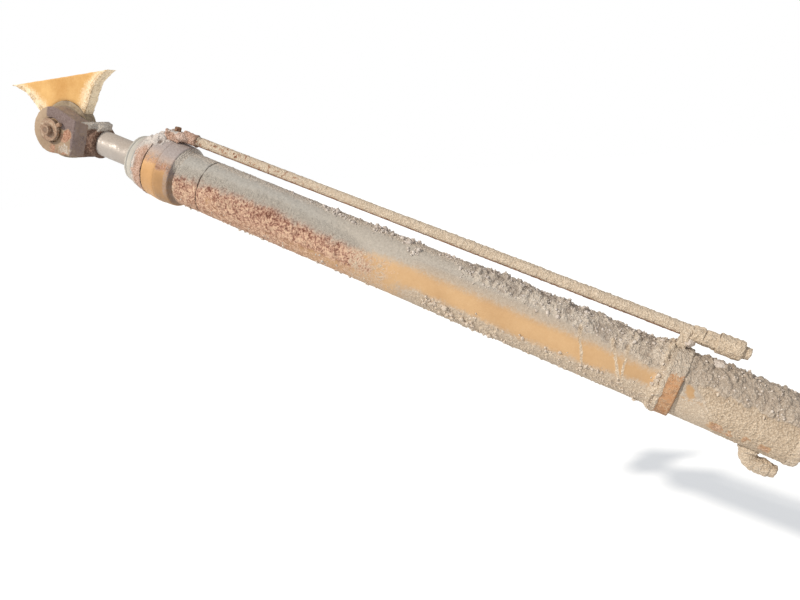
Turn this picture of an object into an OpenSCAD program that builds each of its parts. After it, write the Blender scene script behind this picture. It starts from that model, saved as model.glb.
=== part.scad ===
// Tipping cylinder of an articulated dump truck, from the frame's stub pin to the body's weld-on bracket.
// The frame pin's spigot is at the origin. +X runs towards the truck's front, +Y inboard, +Z up.
// Inside installed() the cylinder's own axis is X, with the base end towards +X. Sizes are in millimetres.

/* [Layout] */
// Slope of the cylinder above the level, with the body down
tilt = 23.4; // [0:0.1:60]
// Travel of the rod, which the tube's length follows
stroke = 1780; // [900:10:2400]
// Length of bare rod between wiper ring and neck with the rod run in
rod_showing = 163; // [20:1:260]

/* [Barrel] */
// Outside diameter of the barrel tube
barrel_od = 180; // [170:1:196]
// Wall of the barrel tube
barrel_wall = 15; // [10:0.5:20]
// Distance from the base pin to the back end of the tube
barrel_back = 145; // [138:1:170]

/* [Head] */
// Outside diameter of the head collar
head_od = 217; // [205:1:230]
// Length of the head collar
head_len = 111; // [90:1:130]
// Length of the collar's bevelled front part
bevel_len = 56; // [20:1:70]
// Depth of that bevel at the front
bevel_depth = 5.5; // [2:0.5:10]
// Depth to which the collar's rear part tapers at its back edge
rear_depth = 4.5; // [1:0.5:8]
// Length of the narrower groove between collar and tube
groove_len = 13; // [8:1:30]
// Depth of the groove below the tube's surface
groove_depth = 4; // [2:0.5:8]
// Length of the gland that reaches into the tube
gland_seat = 82; // [60:1:140]
// Diameter of the gland's nose at its front
nose_od = 184; // [170:1:196]
// Length of the gland's tapered nose in front of the collar
nose_len = 50; // [30:1:80]
// Diameter of the wiper ring
wiper_od = 168; // [130:1:176]
// Length of the wiper ring in front of the nose
wiper_len = 41; // [12:1:50]

/* [Rod] */
// Diameter of the rod
rod_od = 90; // [70:1:100]
// Distance from the rod pin to the rod's shoulder at the neck
rod_shoulder = 152; // [150:1:200]
// Length of the piston
piston_len = 90; // [60:1:110]
// Space between the back of the piston and the base plate at rest
piston_rest = 30; // [10:1:60]
// Space left between piston and gland with the rod run out
piston_spare = 33; // [10:1:60]

/* [Rod eye] */
// Diameter of the eye's round end
rod_eye_od = 160; // [140:1:170]
// Distance from the pin to where the eye starts to draw in
eye_len = 96; // [80:1:100]
// Length over which the eye narrows to the neck
eye_taper = 32; // [20:1:50]
// Distance from the pin to the root behind the eye's inner face
root_at = 105; // [105:1:112]
// Diameter of the neck between eye and rod
neck_od = 116; // [100:1:130]

/* [Body bracket] */
// Diameter of the bracket's boss
boss_od = 200; // [180:1:204]
// Width of the boss behind its hub
boss_w = 48; // [40:1:60]
// Diameter of the raised hub
hub_od = 160; // [120:1:180]
// Width over the hub on both sides
hub_w = 62; // [50:1:66]
// Distance from the cylinder's middle plane to the near end of the bracket's pin
pin_reach = 95; // [85:1:105]
// Distance that this pin stands out behind the hub
pin_proud = 6; // [1:1:12]
// Diameter of the keeper washer on the pin
keeper_od = 79; // [74:1:100]
// Length of the lock tab beside the keeper
tab_len = 16; // [8:1:24]
// Width of the lock tab
tab_w = 12; // [6:1:20]
// Angle of the lock tab above the rod
tab_angle = 38; // [0:1:90]
// Thickness of the gusset plate
gusset_t = 40; // [20:1:48]
// Height of the plate's top edge above the pin
gusset_h = 180; // [140:1:240]
// Width of the plate at its top edge
gusset_top = 460; // [260:2:600]
// Width of the plate where it leaves the boss
gusset_foot = 143; // [120:1:160]

/* [Base eye] */
// Outside diameter of the eye
eye_od = 160; // [140:1:180]
// Width of the eye along its pin
eye_w = 84; // [60:1:100]
// Thickness of the plate that closes the tube's base
plate_t = 26; // [16:1:30]
// Height of the shank between the base plate and the eye
shank_h = 120; // [90:1:140]

/* [Pins] */
// Diameter of each pin
pin_od = 70; // [50:1:80]
// Wall of the bush around each pin
bush_wall = 6; // [4:0.5:10]
// Set-back of each bush from the faces around it
bush_set = 3; // [1:0.5:8]
// Diameter of the stub's flange beside the eye
flange_od = 196; // [170:1:220]
// Thickness of that flange
flange_t = 18; // [10:1:30]
// Diameter of the step behind the flange
step_od = 160; // [130:1:166]
// Thickness of that step
step_t = 14; // [8:1:30]
// Diameter of the spigot that fits the truck's bracket
spigot_od = 110; // [80:1:126]
// Length of the spigot
spigot_len = 60; // [30:1:90]
// Diameter of the retaining washer at the base
washer_od = 92; // [90:1:110]
// Thickness of the retaining and keeper washers
washer_t = 12; // [6:1:16]
// Width across the corners of the hexagon bolt heads on the pins
bolt_od = 36; // [24:1:44]
// Height of those heads
bolt_h = 15; // [8:1:20]

/* [Feed tube] */
// Outside diameter of the hard tube
tube_od = 30; // [20:1:34]
// Wall of the hard tube
tube_wall = 3; // [1:0.5:5]
// Height of the tube's centre above the collar, at the port block
tube_rise = 22; // [16:1:40]
// Further rise of the tube from the port block to its rear nut
tube_lift = 17; // [0:1:24]
// Distance from the base pin to the front of the rear union nut
tube_back = 484; // [460:1:486]
// Length of the port block on the head
block_len = 60; // [50:1:76]
// Width of that block
block_w = 56; // [44:1:70]
// Height of that block above the tube's centre
block_h = 8; // [4:1:34]
// Set-back of the block from the collar's front edge
block_set = 10; // [0:1:20]
// Diameter across the corners of the plug in the block
plug_od = 24; // [16:1:40]
// Height of the plug
plug_h = 14; // [8:1:20]
// Width across the corners of the front union nut
front_nut_od = 40; // [38:1:50]
// Width across the corners of the rear union nut and of the adapter's hexagon
nut_od = 46; // [40:1:56]
// Length of the front union nut, at the block
front_nut_len = 60; // [30:1:70]
// Length of the rear union nut
nut_len = 33; // [24:1:50]
// Length of the hexagon on the tube's adapter
hex_len = 38; // [20:1:50]
// Diameter of the adapters' bodies
adapter_od = 54; // [36:1:60]
// Length of the tube adapter's body
body_len = 66; // [30:1:80]
// Diameter of the bore through the adapters
adapter_bore = 20; // [14:1:24]
// Diameter of the threaded end of each adapter
thread_od = 33; // [28:1:33]
// Length of the threaded end of each adapter
thread_len = 20; // [14:1:26]

/* [Band clamp] */
// Distance from the base pin to the band's middle
band_at = 483; // [470:1:540]
// Width of the band
band_w = 50; // [30:1:60]
// Thickness of the band
band_t = 10; // [6:1:14]
// Gap where the band is closed on its hidden side
band_split = 12; // [6:1:20]
// Reach of the ears beside that gap
ear_len = 34; // [26:1:50]
// Thickness of each ear
ear_t = 12; // [8:1:20]
// Diameter of the bolt through the ears
ear_bolt_od = 14; // [8:1:16]
// Height of the bolt's head and of its nut
ear_bolt_h = 10; // [6:1:14]
// Width of the saddle across the tube
saddle_w = 40; // [32:1:60]
// Length of the saddle along the tube
saddle_len = 22; // [12:1:30]

/* [Base port] */
// Distance from the base pin to the port's middle
port_at = 228; // [215:1:245]
// Diameter of the port's boss under the tube
port_od = 54; // [46:1:74]
// Depth of the boss below the tube
port_h = 10; // [6:1:20]
// Outside diameter of the elbow
elbow_od = 42; // [30:1:44]
// Bend radius of the elbow's centre line
elbow_bend = 30; // [24:1:50]
// Length of the plain adapter behind the elbow
elbow_body = 36; // [20:1:50]

/* [Clearances] */
// Radial gap of the pin in its bush and of the rod in its gland
run_gap = 0.08; // [0.05:0.01:0.1]
// Radial gap of the piston in the tube
piston_gap = 0.4; // [0.3:0.1:1]
// Gap between an eye's face and the stub's flange or washer
face_gap = 3; // [2:0.5:6]
// Radial gap of the wiper ring around the rod
wiper_gap = 0.4; // [0.3:0.1:1]

/* [Hidden] */
$fn = 64;
// Height of a grease nipple, and its two diameters
nipple_h = 14;
nipple_od = 12;
nipple_tip_od = 7;
// Height above the pin at which the gusset's edges leave the boss
foot_z = 27;
// The gusset's edge from foot to top, as shares of its run outwards and upwards
EDGE = [
    [0, 0], [0.13, 0.125], [0.306, 0.373], [0.432, 0.595], [0.596, 0.79], [0.861, 0.96], [1, 1]
];
// Overshoot of a cutting shape past the surface that it cuts
over = 1;
barrel_bore = barrel_od - 2 * barrel_wall;
piston_back = barrel_back + piston_rest;
gland_back = piston_back + piston_len + stroke + piston_spare;
barrel_front = gland_back + gland_seat;
eye_plane = eye_w / 2 + face_gap + flange_t + step_t;
pin_end = eye_w / 2 + face_gap;
head_back = barrel_front + groove_len;
head_front = head_back + head_len;
nose_front = head_front + nose_len;
neck_front = nose_front + wiper_len + rod_showing;
pin_gap = neck_front + rod_shoulder;
bush_od = pin_od + 2 * run_gap + 2 * bush_wall;
block_front = head_front - block_set;
block_back = block_front - block_len;
elbow_z = -barrel_od / 2 - port_h - elbow_bend;
elbow_x = elbow_bend - port_at;
tube_h = head_od / 2 + tube_rise;
tube_slope = asin(tube_lift / (block_back - tube_back));
// Distances of the rod eye's outer and inner face from the cylinder's middle plane
eye_outer = pin_reach - face_gap;
eye_inner = hub_w / 2 + face_gap;
// Slope of the rod eye's edges between its round end and the neck
lean = asin((rod_eye_od - neck_od) / 2 / (eye_len + eye_taper));

// Turns the cylinder's own axes to the way it is held on the truck
module installed() rotate([0, tilt, 0]) translate([0, -eye_plane, 0]) children();
module at_rod_pin() translate([-pin_gap, 0, 0]) children();
// Turns what runs along the cylinder to the slight slope of the hard tube
module along_tube() translate([-block_back, 0, tube_h]) rotate([0, -tube_slope, 0])
    translate([block_back, 0, 0]) children();
// Round bar along the cylinder's axis, between two distances from the base pin
module bar(from, to, d) translate([-to, 0, 0]) rotate([0, 90, 0]) cylinder(d = d, h = to - from);
// Round bar that tapers from one diameter to the other between two distances
module taper(from, to, d_from, d_to) translate([-to, 0, 0]) rotate([0, 90, 0])
    cylinder(d1 = d_to, d2 = d_from, h = to - from);
// Round bar along the pins, between two distances from the eye's middle plane
module pin(from, to, d) translate([0, to, 0]) rotate([90, 0, 0]) cylinder(d = d, h = to - from);
// Hexagon prism along the pins, its nearer face at a distance from the middle plane
module pin_hexagon(from, h, d) translate([0, from, 0]) rotate([90, 0, 0]) cylinder(d = d, h = h, $fn = 6);
// Hexagon prism along the cylinder's axis, between two distances from the base pin
module nut(from, to, d) translate([-to, 0, 0]) rotate([0, 90, 0]) cylinder(d = d, h = to - from, $fn = 6);
module bush(width) difference() {
    pin(bush_set - width / 2, width / 2 - bush_set, bush_od);
    pin(-width, width, pin_od + 2 * run_gap);
}

module base_stub() color("#7c6a5c") installed() {
    pin(-pin_end, pin_end, pin_od);
    pin(pin_end, pin_end + flange_t, flange_od);
    pin(pin_end + flange_t, eye_plane, step_od);
    pin(eye_plane, eye_plane + spigot_len, spigot_od);
}
module base_retainer() color("#b9a68c") installed() pin(-pin_end - washer_t, -pin_end, washer_od);
module base_bolt() color("#8d7a66") installed() pin_hexagon(-pin_end - washer_t, bolt_h, bolt_od);
module base_bush() color("#a3875a") installed() bush(eye_w);
module base_nipple() color("#9a948a") installed() translate([0, 0, eye_od / 2]) {
    cylinder(d = nipple_od, h = nipple_h / 2);
    cylinder(d = nipple_tip_od, h = nipple_h);
}
module base_eye() color("#c3ad90") installed() difference() {
    union() {
        pin(-eye_w / 2, eye_w / 2, eye_od);
        translate([plate_t - barrel_back, -eye_w / 2, -shank_h / 2])
            cube([barrel_back - plate_t, eye_w, shank_h]);
    }
    pin(-eye_w, eye_w, bush_od);
}
module base_plate() color("#c3ad90") installed() bar(barrel_back - plate_t, barrel_back, barrel_od);
module barrel_tube() color("#c8a276") installed() difference() {
    bar(barrel_back, barrel_front, barrel_od);
    bar(barrel_back - over, barrel_front + over, barrel_bore);
}

module base_port_boss() color("#c3ad90") installed() difference() {
    translate([-port_at, 0, -barrel_od / 2 - port_h]) cylinder(d = port_od, h = port_h + barrel_wall);
    bar(barrel_back, barrel_front, barrel_od);
}
module base_elbow() color("#c3b397") installed() translate([elbow_x, 0, -barrel_od / 2 - port_h])
    rotate([90, 180, 0]) rotate_extrude(angle = 90) translate([elbow_bend, 0]) circle(d = elbow_od);
module base_adapter() color("#a89f92") installed() translate([elbow_x, 0, elbow_z]) difference() {
    union() {
        bar(-elbow_body, 0, elbow_od);
        bar(-elbow_body - thread_len, 0, thread_od);
    }
    bar(-elbow_body - thread_len - over, over, adapter_bore);
}

// Outside of the collar, widest where its rear taper meets the bevel
module collar_shape() {
    taper(head_back, head_front - bevel_len, head_od - 2 * rear_depth, head_od);
    taper(head_front - bevel_len, head_front, head_od, head_od - 2 * bevel_depth);
}
module head_collar() color("#c98f4e") installed() difference() {
    union() {
        collar_shape();
        bar(barrel_front, head_back, barrel_od - 2 * groove_depth);
    }
    bar(barrel_front - over, head_front + over, barrel_bore);
}
module gland() color("#b99a84") installed() difference() {
    union() {
        bar(gland_back, head_front, barrel_bore);
        taper(head_front, nose_front, head_od - 2 * bevel_depth, nose_od);
    }
    bar(gland_back - over, nose_front + over, rod_od + 2 * run_gap);
}
module wiper_ring() color("#cfc8bd") installed() difference() {
    bar(nose_front, nose_front + wiper_len, wiper_od);
    bar(nose_front - over, nose_front + wiper_len + over, rod_od + 2 * wiper_gap);
}

module head_port_block() color("#a9937c") installed() difference() {
    translate([-block_front, -block_w / 2, 0]) cube([block_len, block_w, tube_h + block_h]);
    collar_shape();
}
module head_port_plug() color("#8a5a3c") installed()
    translate([-(block_front + block_back) / 2, 0, tube_h + block_h])
    cylinder(d = plug_od, h = plug_h, $fn = 6);
module front_nut() color("#b8a384") installed() difference() {
    along_tube() nut(block_back - front_nut_len, block_back + over, front_nut_od);
    along_tube() bar(block_back - front_nut_len - over, block_back + 2 * over, tube_od);
    block_side();
}
// Cuts what reaches past the block's back face
module block_side() bar(block_back, block_back + block_len, 2 * head_od);
module feed_tube() color("#c9bba4") installed() difference() {
    along_tube() bar(tube_back - nut_len, block_back + over, tube_od);
    along_tube() bar(tube_back - nut_len - over, block_back + 2 * over, tube_od - 2 * tube_wall);
    block_side();
}
module rear_nut() color("#b8a384") installed() along_tube() difference() {
    nut(tube_back - nut_len, tube_back, nut_od);
    bar(tube_back - nut_len - over, tube_back + over, tube_od);
}
// Adapter behind the tube, with a hexagon, a round body and a threaded end
module tube_adapter() color("#c7aa7c") installed() along_tube() translate([nut_len - tube_back, 0, 0])
    difference() {
        union() {
            nut(-hex_len, 0, nut_od);
            bar(-hex_len - body_len, -hex_len, adapter_od);
            bar(-hex_len - body_len - thread_len, -hex_len, thread_od);
        }
        bar(-hex_len - body_len - thread_len - over, over, adapter_bore);
    }

module band_clamp() color("#c58a52") installed() difference() {
    union() {
        bar(band_at - band_w / 2, band_at + band_w / 2, barrel_od + 2 * band_t);
        translate([-band_at - band_w / 2, 0, -band_split / 2 - ear_t])
            cube([band_w, barrel_od / 2 + ear_len, band_split + 2 * ear_t]);
    }
    bar(band_at - band_w, band_at + band_w, barrel_od);
    translate([-band_at - band_w, 0, -band_split / 2]) cube([2 * band_w, barrel_od, band_split]);
    ear_hole();
}
module ear_hole() translate([-band_at, barrel_od / 2 + (ear_len + band_t) / 2, -barrel_od / 2])
    cylinder(d = ear_bolt_od, h = barrel_od);
module band_bolt() color("#8a5a3c") installed()
    translate([-band_at, barrel_od / 2 + (ear_len + band_t) / 2, 0])
    for (way = [0, 180]) rotate([way, 0, 0]) {
        cylinder(d = ear_bolt_od, h = band_split / 2 + ear_t);
        translate([0, 0, band_split / 2 + ear_t]) cylinder(d = 2 * ear_bolt_h, h = ear_bolt_h, $fn = 6);
    }
module tube_saddle() color("#b9a68c") installed() difference() {
    translate([-band_at - band_w / 2, -saddle_w / 2, 0]) cube([saddle_len, saddle_w, tube_h + tube_lift]);
    bar(band_at - band_w, band_at + band_w, barrel_od + 2 * band_t);
    along_tube() bar(band_at - band_w, band_at + band_w, tube_od);
}

module rod() color("#c4c2bd") installed() bar(piston_back, neck_front, rod_od);
module piston() color("#8c8c88") installed() difference() {
    bar(piston_back, piston_back + piston_len, barrel_bore - 2 * piston_gap);
    bar(piston_back - over, piston_back + piston_len + over, rod_od);
}
// Pear shape of the rod eye seen from the side, as wide as both of its sides could be
module eye_side() {
    pin(-eye_outer, eye_outer, rod_eye_od);
    rotate([90, 0, 0]) linear_extrude(height = 2 * eye_outer, center = true)
        polygon([
            [rod_eye_od / 2 * sin(lean), -rod_eye_od / 2 * cos(lean)],
            [eye_len + eye_taper + neck_od / 2 * sin(lean), -neck_od / 2 * cos(lean)],
            [eye_len + eye_taper + neck_od / 2 * sin(lean), neck_od / 2 * cos(lean)],
            [rod_eye_od / 2 * sin(lean), rod_eye_od / 2 * cos(lean)]
        ]);
}
// Outline of the rod eye seen from above: an offset cheek on the near side, with its root at the neck
module eye_plan() translate([0, 0, -rod_eye_od / 2]) linear_extrude(height = rod_eye_od) polygon([
    [-rod_eye_od, -eye_outer], [eye_len, -eye_outer], [eye_len + eye_taper, -neck_od / 2],
    [eye_len + eye_taper, neck_od / 2], [root_at, neck_od / 2], [root_at, -eye_inner],
    [-rod_eye_od, -eye_inner]
]);
module rod_eye() color("#8a6a55") installed() at_rod_pin() difference() {
    union() {
        intersection() {
            eye_side();
            eye_plan();
        }
        bar(-rod_shoulder, -root_at, neck_od);
    }
    pin(-2 * eye_outer, eye_outer, bush_od);
}
module rod_bush() color("#a3875a") installed() at_rod_pin() translate([0, -(eye_outer + eye_inner) / 2, 0])
    bush(eye_outer - eye_inner);

module bracket_boss() color("#8f8a72") installed() at_rod_pin() difference() {
    union() {
        pin(-hub_w / 2, hub_w / 2, hub_od);
        pin(-boss_w / 2, boss_w / 2, boss_od);
    }
    pin(-hub_w, hub_w, pin_od);
}
module bracket_pin() color("#8d7a66") installed() at_rod_pin()
    pin(-pin_reach, hub_w / 2 + pin_proud, pin_od);
// Point of the gusset's edge, on the side given by 1 or -1
function edge_point(share, side) = [
    side * (gusset_foot + share[0] * (gusset_top - gusset_foot)) / 2,
    foot_z + share[1] * (gusset_h - foot_z)
];
module bracket_gusset() color("#c98f4e") installed() at_rod_pin() difference() {
    rotate([0, -tilt, 0]) rotate([90, 0, 0]) linear_extrude(height = gusset_t, center = true)
        polygon(concat(
            [[0, 0]],
            [for (i = [0:len(EDGE) - 1]) edge_point(EDGE[i], 1)],
            [for (i = [len(EDGE) - 1:-1:0]) edge_point(EDGE[i], -1)]
        ));
    pin(-gusset_t, gusset_t, boss_od);
}
module pin_keeper() color("#b9a68c") installed() at_rod_pin()
    pin(-pin_reach - washer_t, -pin_reach, keeper_od);
module keeper_bolt() color("#8d7a66") installed() at_rod_pin()
    pin_hexagon(-pin_reach - washer_t, bolt_h, bolt_od);
module keeper_tab() color("#8d7a66") installed() at_rod_pin() rotate([0, -tab_angle, 0])
    translate([keeper_od / 2, -pin_reach - washer_t, -tab_w / 2]) cube([tab_len, washer_t, tab_w]);

base_stub();
base_retainer();
base_bolt();
base_eye();
base_bush();
base_nipple();
base_plate();
barrel_tube();
base_port_boss();
base_elbow();
base_adapter();
head_collar();
gland();
wiper_ring();
head_port_block();
head_port_plug();
front_nut();
feed_tube();
rear_nut();
tube_adapter();
band_clamp();
band_bolt();
tube_saddle();
rod();
piston();
rod_eye();
rod_bush();
bracket_boss();
bracket_gusset();
bracket_pin();
pin_keeper();
keeper_bolt();
keeper_tab();
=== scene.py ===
import math
from functools import partialmethod, reduce
from itertools import product
import bmesh
import bpy
import numpy as np
from mathutils import Matrix, Vector


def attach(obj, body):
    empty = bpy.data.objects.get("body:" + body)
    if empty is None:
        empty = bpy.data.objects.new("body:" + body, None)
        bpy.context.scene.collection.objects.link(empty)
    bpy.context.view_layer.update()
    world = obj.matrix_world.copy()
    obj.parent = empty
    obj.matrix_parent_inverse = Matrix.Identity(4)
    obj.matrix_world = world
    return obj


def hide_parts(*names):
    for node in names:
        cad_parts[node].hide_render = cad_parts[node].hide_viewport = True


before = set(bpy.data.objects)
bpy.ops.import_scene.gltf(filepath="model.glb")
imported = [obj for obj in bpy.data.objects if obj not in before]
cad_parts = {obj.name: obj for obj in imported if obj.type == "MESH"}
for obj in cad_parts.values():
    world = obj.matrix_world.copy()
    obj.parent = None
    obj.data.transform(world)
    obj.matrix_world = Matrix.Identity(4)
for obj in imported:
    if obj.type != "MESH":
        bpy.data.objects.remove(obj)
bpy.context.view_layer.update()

# The tipping cylinder with its worn paint, rust, dust and caked mud. Each CAD node gets a finely meshed copy
# with relief and masks of dirt and painted shade, and the barrel gets skins of mud. Lengths are metres, and
# angles are degrees.
# The cylinder's own axes: s runs from the rod pin towards the base pin, y inboard along the pins, and z up.
TILT = math.radians(23.4)
PIN_GAP = 2.69
EYE_PLANE = 0.077
BARREL_R = 0.09
BORE_R = 0.075

# Places along the cylinder, as distances from the rod pin
NOSE_FRONT, COLLAR_FRONT, COLLAR_RIDGE, COLLAR_BACK = 0.356, 0.406, 0.462, 0.517
BARREL_FRONT, SEAM, BARREL_END = 0.53, 0.626, 2.545
BEAD, BAND_FRONT, BAND_BACK = 2.176, 2.182, 2.232
# The hard tube's ends, and its height above the cylinder's axis at each
TUBE_FRONT, TUBE_BACK, TUBE_LOW, TUBE_HIGH = 0.476, 2.206, 0.1305, 0.1475
# Angles that the skins cover, the places where one follows the other, and how their edges sink into the tube
SKIN_SIDES = (-60.0, 172.0)
SKIN_JOINTS = (1.3, 1.765)
SIDE_SINK, SINK_REACH = 0.0015, 0.003
# Profiles of the round bodies below the skins: s, and the radius there
ROUND_BARREL = (0.0, PIN_GAP), (BARREL_R, BARREL_R)
HEAD_PROFILE = (NOSE_FRONT, COLLAR_FRONT, COLLAR_RIDGE, COLLAR_BACK), (0.092, 0.103, 0.1085, 0.104)
GROOVE_PROFILE = (0.513, 0.52, 0.533, 0.54), (0.1025, 0.1, 0.0912, 0.09)


def to_row(own):
    """Points in the cylinder's own axes, turned to the shared frame."""
    own = np.asarray(own, float)
    x = own[..., 0] - PIN_GAP
    z = own[..., 2]
    c, s = math.cos(TILT), math.sin(TILT)
    return np.stack([x * c + z * s, own[..., 1] - EYE_PLANE, z * c - x * s], -1)


def to_own(row):
    """Points in the shared frame, turned to the cylinder's own axes."""
    row = np.asarray(row, float)
    c, s = math.cos(TILT), math.sin(TILT)
    x = row[..., 0] * c - row[..., 2] * s
    z = row[..., 0] * s + row[..., 2] * c
    return np.stack([x + PIN_GAP, row[..., 1] + EYE_PLANE, z], -1)


def angle_of(own, axis_height=0.0):
    """Angle from the top, positive towards the near side."""
    return np.degrees(np.arctan2(-own[..., 1], own[..., 2] - axis_height))


def side_of(own, axis_height=0.0):
    """Angle from the top, the same on both sides."""
    return np.abs(angle_of(own, axis_height))


def radius_of(own):
    """Distance from the cylinder's axis."""
    return np.hypot(own[..., 1], own[..., 2])


# Smooth steps between two limits
def step(x, low, high):
    """0 below low and 1 above high."""
    t = np.clip((x - low) / (high - low), 0, 1)
    return t * t * (3 - 2 * t)


def fade(x, low, high):
    """1 below low and 0 above high."""
    return 1 - step(x, low, high)


def window(x, low, high, soft):
    """1 between low and high, with edges twice as wide as soft."""
    return step(x, low - soft, low + soft) * fade(x, high - soft, high + soft)


def bump_at(x, middle, width):
    return np.exp(-((x - middle) / width) ** 2)


def most(*shares):
    """The largest of the shares at each point."""
    return reduce(np.maximum, shares)


# Seeded noise. Each call names the size of its blobs in metres, and its seed.
OCTAVES = 4
OCTAVE_GAIN = 0.55


def hashed(ix, iy, iz, seed):
    h = (ix * 374761393 + iy * 668265263 + iz * 1103515245 + seed * 974634777) & 0xFFFFFFFF
    h = ((h ^ (h >> 13)) * 1274126177) & 0xFFFFFFFF
    h = ((h ^ (h >> 15)) * 2246822519) & 0xFFFFFFFF
    return ((h ^ (h >> 16)) & 0xFFFFFF) / float(0xFFFFFF)


def noise(p, size, seed):
    """Value noise from 0 to 1."""
    q = np.asarray(p) / size
    i = np.floor(q).astype(np.int64)
    f = q - i
    f = f * f * f * (f * (f * 6 - 15) + 10)
    total = 0.0
    for corner in product((0, 1), repeat=3):
        share = 1.0
        for k in range(3):
            share = share * (f[..., k] if corner[k] else 1 - f[..., k])
        total = total + share * hashed(*(i[..., k] + corner[k] for k in range(3)), seed)
    return total


def rough(p, size, seed):
    """Octaves of noise, 0 to 1."""
    total, weight, share = 0.0, 0.0, 1.0
    for k in range(OCTAVES):
        total = total + share * noise(p, size / 2 ** k, seed + 17 * k)
        weight += share
        share *= OCTAVE_GAIN
    return total / weight


def wave(p, size, seed):
    """Rough noise, -1 to 1."""
    return (rough(p, size, seed) - 0.5) * 2


def patches(p, size, seed, low, high):
    """Patches of rough noise, 0 where it is below low and 1 where it is above high."""
    return step(rough(p, size, seed), low, high)


def lumps(p, size, seed):
    """Rounded clods: 1 at a clod's middle, 0 between clods."""
    q = np.asarray(p) / size
    i = np.floor(q).astype(np.int64)
    best = np.full(q.shape[:-1], 9.0)
    for shift in product((-1, 0, 1), repeat=3):
        cell = [i[..., k] + shift[k] for k in range(3)]
        d2 = 0
        for k in range(3):
            d2 = d2 + (cell[k] + hashed(*cell, seed + 31 * k) - q[..., k]) ** 2
        best = np.minimum(best, d2)
    return np.clip(1 - np.sqrt(best) / 0.75, 0, 1)


def stretched(own, along, across, bend, seed):
    """Coordinates on the rolled-out barrel, squeezed along and across, with a little bending."""
    s = own[:, 0] + bend * wave(own, 0.03, seed)
    run = np.radians(angle_of(own)) * BARREL_R + bend * wave(own, 0.03, seed + 5)
    return np.stack([s / along, run / across, 0 * s], -1)


# Meshes. The materials read these masks, which each piece carries.
MASKS = ("mud", "warm", "dust", "rust", "dark", "crack")


def add_masks(mesh, masks):
    for name in MASKS:
        layer = mesh.attributes.new(name, "FLOAT", "POINT")
        value = masks.get(name, 0)
        data = np.broadcast_to(np.asarray(value, float), (len(mesh.vertices),))
        layer.data.foreach_set("value", np.clip(data, 0, 1).astype(np.float32))


def vectors(items, key):
    values = np.zeros(len(items) * 3)
    items.foreach_get(key, values)
    return values.reshape(-1, 3)


def coordinates(mesh):
    return vectors(mesh.vertices, "co")


def normals(mesh):
    return vectors(mesh.vertex_normals, "vector")


def push(mesh, height):
    """Moves each vertex along its normal by height, a number or an array."""
    co = coordinates(mesh) + normals(mesh) * np.reshape(height, (-1, 1))
    mesh.vertices.foreach_set("co", co.ravel())
    mesh.update()


def build(own, faces):
    """Mesh from points in the cylinder's own axes, with its faces turned outwards."""
    mesh = bpy.data.meshes.new("piece")
    mesh.from_pydata(to_row(own).tolist(), [], faces)
    edit = bmesh.new()
    edit.from_mesh(mesh)
    bmesh.ops.recalc_face_normals(edit, faces=edit.faces)
    edit.to_mesh(mesh)
    edit.free()
    mesh.update()
    return mesh


def add_object(name, data):
    added = bpy.data.objects.new(name, data)
    bpy.context.scene.collection.objects.link(added)
    return added


def finish_piece(mesh, name, material, body="barrel", nodes=()):
    mesh.name = name
    mesh.polygons.foreach_set("use_smooth", [True] * len(mesh.polygons))
    mesh.materials.clear()
    mesh.materials.append(material)
    mesh.update()
    piece = add_object(name, mesh)
    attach(piece, body)
    if nodes:
        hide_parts(*nodes)
    return piece


def ring_pairs(count):
    return [(k, (k + 1) % count) for k in range(count)]


def copied(node, voxel, rounding):
    """A finely meshed copy of a CAD node with its edges rounded."""
    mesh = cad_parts[node].data.copy()
    edit = bmesh.new()
    edit.from_mesh(mesh)
    bmesh.ops.remove_doubles(edit, verts=edit.verts, dist=1e-5)
    edit.to_mesh(mesh)
    edit.free()
    holder = add_object("holder", mesh)
    remesh = holder.modifiers.new("remesh", "REMESH")
    remesh.mode = "VOXEL"
    remesh.voxel_size = voxel
    soften = holder.modifiers.new("soften", "SMOOTH")
    soften.iterations = rounding
    soften.factor = 0.5
    bpy.context.view_layer.update()
    result = bpy.data.meshes.new_from_object(holder.evaluated_get(bpy.context.evaluated_depsgraph_get()))
    bpy.data.objects.remove(holder)
    for name in [a.name for a in result.attributes if not a.is_required and not a.is_internal]:
        result.attributes.remove(result.attributes[name])
    return result


# Materials
def fill(tree, socket, value):
    """Gives a socket a number, a colour or a link."""
    if isinstance(value, (int, float)):
        socket.default_value = value
    elif isinstance(value, tuple):
        socket.default_value = (*value, 1.0)
    else:
        tree.links.new(value, socket)


def new_node(tree, kind, inputs, output, **settings):
    """Adds a shader node with the given settings and inputs, and returns one of its outputs."""
    node = tree.nodes.new("ShaderNode" + kind)
    for key, value in settings.items():
        setattr(node, key, value)
    for key, value in inputs.items():
        fill(tree, node.inputs[key], value)
    return node.outputs[output]


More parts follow.
